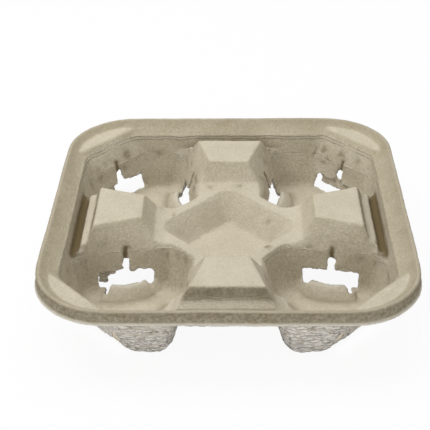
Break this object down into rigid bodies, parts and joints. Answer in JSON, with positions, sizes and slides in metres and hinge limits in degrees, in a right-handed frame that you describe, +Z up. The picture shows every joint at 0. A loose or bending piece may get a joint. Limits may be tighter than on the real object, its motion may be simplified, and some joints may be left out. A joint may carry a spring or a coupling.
{
  "type": "cardboard cup carrier",
  "caption": "Square moulded-pulp tray with tapered wells between hollow islands; torn flaps in the well walls grip takeaway cups.",
  "frame": {"origin": "on the ground under the middle of the tray, level with the undersides of the wells", "axes": "+Z up out of the wells, X and Y along the sides of the square rim, -Y the side nearest the camera"},
  "size_m": [0.215, 0.215, 0.046],
  "materials": {
    "pulp": "matt beige-grey moulded paper pulp, smooth inside, coarse mesh print outside"
  },
  "bodies": {
    "root": {"cup_carrier": "pulp"}
  },
  "joints": []
}
